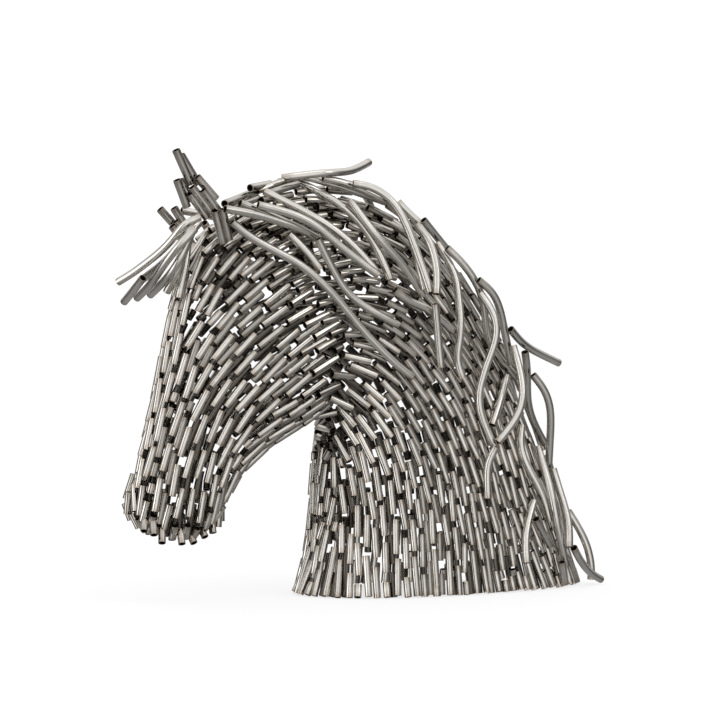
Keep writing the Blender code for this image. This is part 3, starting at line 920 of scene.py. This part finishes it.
def grain_group():
    """Drawn steel's grain: fine lines along the pipe and wide patches, their own on each pipe."""
    group, start, end = new_tree("ShaderNodeTree", "drawn grain",
                                 (("Length", "Float"), ("Lot", "Float")),
                                 (("Lines", "Float"), ("Patches", "Float")))
    uv = node(group, "ShaderNodeUVMap", uv_map="Grain").outputs[0]
    parts = node(group, "ShaderNodeSeparateXYZ", {0: uv}).outputs
    turn = math_node(group, "MULTIPLY", parts[0], 2 * math.pi)
    ring_x = math_node(group, "COSINE", turn)
    ring_y = math_node(group, "SINE", turn)
    run = math_node(group, "MULTIPLY", parts[1], start.outputs["Length"])
    apart = math_node(group, "MULTIPLY", start.outputs["Lot"], GRAIN_APART)
    for output, (scale, stretch, detail) in zip(("Lines", "Patches"), GRAINS):
        run_on = math_node(group, "MULTIPLY_ADD", run, stretch, apart)
        vector = node(group, "ShaderNodeCombineXYZ", {0: ring_x, 1: ring_y, 2: run_on}).outputs[0]
        noise = node(group, "ShaderNodeTexNoise", {
            "Vector": vector, "Scale": scale, "Detail": detail})
        group.links.new(noise.outputs["Fac"], end.inputs[output])
    return group


def steel_material(name, grain, light, dark, tint, rough):
    """Satin stainless steel with a grain along it, heat marks at its ends, a bore painted dark as
    painted shade and oxide, and painted shade on the walls marked as shaded.
    """
    material = bpy.data.materials.new(name)
    material.use_nodes = True
    tree = material.node_tree
    length, lot, bore, inward = (
        node(tree, "ShaderNodeAttribute", attribute_name=label).outputs["Fac"]
        for label in ("length", "lot", "bore", "inward"))
    drawn = node(tree, "ShaderNodeGroup", {"Length": length, "Lot": lot}, node_tree=grain).outputs
    uv = node(tree, "ShaderNodeUVMap", uv_map="Grain").outputs[0]
    run = node(tree, "ShaderNodeSeparateXYZ", {0: uv}).outputs[1]
    from_end = math_node(tree, "MULTIPLY", math_node(tree, "PINGPONG", run, 0.5), length)
    heat = rescale(tree, from_end, (0.0, HEAT_REACH), (1.0, 0.0))
    heat = math_node(tree, "MULTIPLY", heat, drawn["Patches"], clamp=True)
    tone = math_node(tree, "MULTIPLY_ADD", lot, 0.5, drawn["Patches"])
    shade = mix_colour(tree, tone, dark, light)
    warm = mix_colour(tree, heat, shade, tint)
    # Painted shade: the bore and the walls marked as shaded are painted dark, standing in for the shade
    # they lie in; in the bore this dark is also the oxide of the inside
    shade_and_oxide = math_node(tree, "MAXIMUM", bore, inward)
    colour = mix_colour(tree, shade_and_oxide, warm, SHADE_AND_OXIDE_STEEL)
    gloss = math_node(tree, "MULTIPLY_ADD", drawn["Lines"], GRAIN_GLOSS, rough - GRAIN_GLOSS / 2)
    gloss = math_node(tree, "MULTIPLY_ADD", bore, BORE_ROUGHNESS, gloss)
    bump = node(tree, "ShaderNodeBump", {
        "Strength": GRAIN_BUMP, "Distance": GRAIN_DEPTH, "Height": drawn["Lines"]})
    shader = tree.nodes["Principled BSDF"]
    shader.inputs["Metallic"].default_value = 1.0
    tree.links.new(colour, shader.inputs["Base Color"])
    tree.links.new(gloss, shader.inputs["Roughness"])
    tree.links.new(bump.outputs[0], shader.inputs["Normal"])
    return material


# The studio


def plain_floor():
    """A pale floor that glows a little, and that the steel doesn't mirror."""
    bm = bmesh.new()
    bmesh.ops.create_grid(bm, x_segments=8, y_segments=8, size=FLOOR_REACH)
    mesh = bpy.data.meshes.new("floor")
    bm.to_mesh(mesh)
    bm.free()
    floor = bpy.data.objects.new("floor", mesh)
    bpy.context.scene.collection.objects.link(floor)
    paint = bpy.data.materials.new("pale_floor")
    paint.use_nodes = True
    tree = paint.node_tree
    shader = tree.nodes["Principled BSDF"]
    shader.inputs["Base Color"].default_value = (0.95, 0.95, 0.95, 1.0)
    shader.inputs["Roughness"].default_value = 0.9
    shader.inputs["Specular IOR Level"].default_value = 0.0
    path = node(tree, "ShaderNodeLightPath")
    clear = node(tree, "ShaderNodeBsdfTransparent")
    glow = node(tree, "ShaderNodeEmission", {"Color": (1.0, 1.0, 1.0, 1.0), "Strength": 1.0})
    lit = node(tree, "ShaderNodeMixShader", {
        0: FLOOR_GLOW, 1: shader.outputs[0], 2: glow.outputs[0]})
    mix = node(tree, "ShaderNodeMixShader", {
        0: path.outputs["Is Glossy Ray"], 1: lit.outputs[0], 2: clear.outputs[0]})
    tree.links.new(mix.outputs[0], tree.nodes["Material Output"].inputs[0])
    mesh.materials.append(paint)


def soft_box(name, turn, rise, size, glow):
    """A soft light seen from the bust at an angle to the right of the camera, and above it."""
    turn = VIEW_TURN + math.radians(turn)
    rise = math.radians(rise)
    towards = Vector((math.sin(turn) * math.cos(rise), -math.cos(turn) * math.cos(rise), math.sin(rise)))
    light = bpy.data.lights.new(name, "AREA")
    light.shape = "RECTANGLE"
    light.size, light.size_y = size
    light.energy = glow * math.pi * size[0] * size[1]
    lamp = bpy.data.objects.new(name, light)
    lamp.location = LIGHT_AIM + towards * LIGHT_DISTANCE
    lamp.rotation_euler = towards.to_track_quat("Z", "Y").to_euler()
    bpy.context.scene.collection.objects.link(lamp)


def wall_panels(tree, towards):
    """The glow of the studio's walls, by the way that a look goes."""
    ahead = vector_node(tree, "DOT_PRODUCT", towards, tuple(BACK))
    across = vector_node(tree, "DOT_PRODUCT", towards, tuple(RIGHT))
    turn = math_node(tree, "ARCTAN2", across, ahead)
    panels = node(tree, "ShaderNodeValToRGB", {
        0: math_node(tree, "MULTIPLY_ADD", turn, 0.5 / math.pi, 0.5)})
    stops = panels.color_ramp.elements
    for place, glow in PANELS[1:-1]:
        stops.new((place + 180) / 360).color = (glow, glow, glow, 1.0)
    for stop, (_, glow) in ((stops[0], PANELS[0]), (stops[len(stops) - 1], PANELS[-1])):
        stop.color = (glow, glow, glow, 1.0)
    return panels.outputs[0]


def studio():
    """A white room, in which the steel sees panels, a roof and a darker floor."""
    plain_floor()
    world = bpy.data.worlds.new("studio")
    bpy.context.scene.world = world
    world.use_nodes = True
    tree = world.node_tree
    pale = tree.nodes["Background"]
    pale.inputs["Color"].default_value = (1.0, 1.0, 1.0, 1.0)
    pale.inputs["Strength"].default_value = WHITE_ROOM
    towards = node(tree, "ShaderNodeTexCoord").outputs["Generated"]
    height = node(tree, "ShaderNodeSeparateXYZ", {0: towards}).outputs[2]
    over = rescale(tree, math_node(tree, "ABSOLUTE", height), WALL_HEIGHTS, (0.0, 1.0))
    roof = rescale(tree, height, HORIZON, FLOOR_AND_ROOF)
    mirrored = mix_colour(tree, over, wall_panels(tree, towards), roof)
    room = node(tree, "ShaderNodeBackground", {"Color": mirrored})
    path = node(tree, "ShaderNodeLightPath")
    mix = node(tree, "ShaderNodeMixShader", {
        0: path.outputs["Is Glossy Ray"], 1: pale.outputs[0], 2: room.outputs[0]})
    tree.links.new(mix.outputs[0], tree.nodes["World Output"].inputs[0])
    for box in SOFT_BOXES:
        soft_box(*box)
    view = bpy.context.scene.view_settings
    view.view_transform = "Standard"
    view.look = "None"


def place_camera():
    """The eye of the side view."""
    camera = bpy.data.cameras.new("camera")
    camera.sensor_width = SENSOR
    camera.lens = SENSOR * VIEW_DISTANCE / (PICTURE_SQUARES * SQUARE)
    camera.clip_end = 100.0
    eye = bpy.data.objects.new("camera", camera)
    eye.location = EYE
    eye.rotation_euler = (AIM - EYE).to_track_quat("-Z", "Y").to_euler()
    bpy.context.scene.collection.objects.link(eye)
    bpy.context.scene.camera = eye


def main():
    place_camera()
    studio()
    grain = grain_group()
    pipe_steel = steel_material("pipe_steel", grain, *PIPE_FINISH)
    tube_steel = steel_material("tube_steel", grain, *TUBE_FINISH)
    tree = pipes_tree()
    rng = np.random.default_rng(SEED)
    build_skin(pipe_steel, tree, rng)
    build_ear("ear_left", LEFT_EAR, pipe_steel, tree, rng)
    build_ear("ear_right", RIGHT_EAR, pipe_steel, tree, rng)
    build_loose_pipes("crest_pipes", CREST_PIPES, pipe_steel, tree, rng)
    build_loose_pipes("muzzle_pipes", MUZZLE_PIPES, pipe_steel, tree, rng)
    bend_tubes(tube_steel, rng)


main()
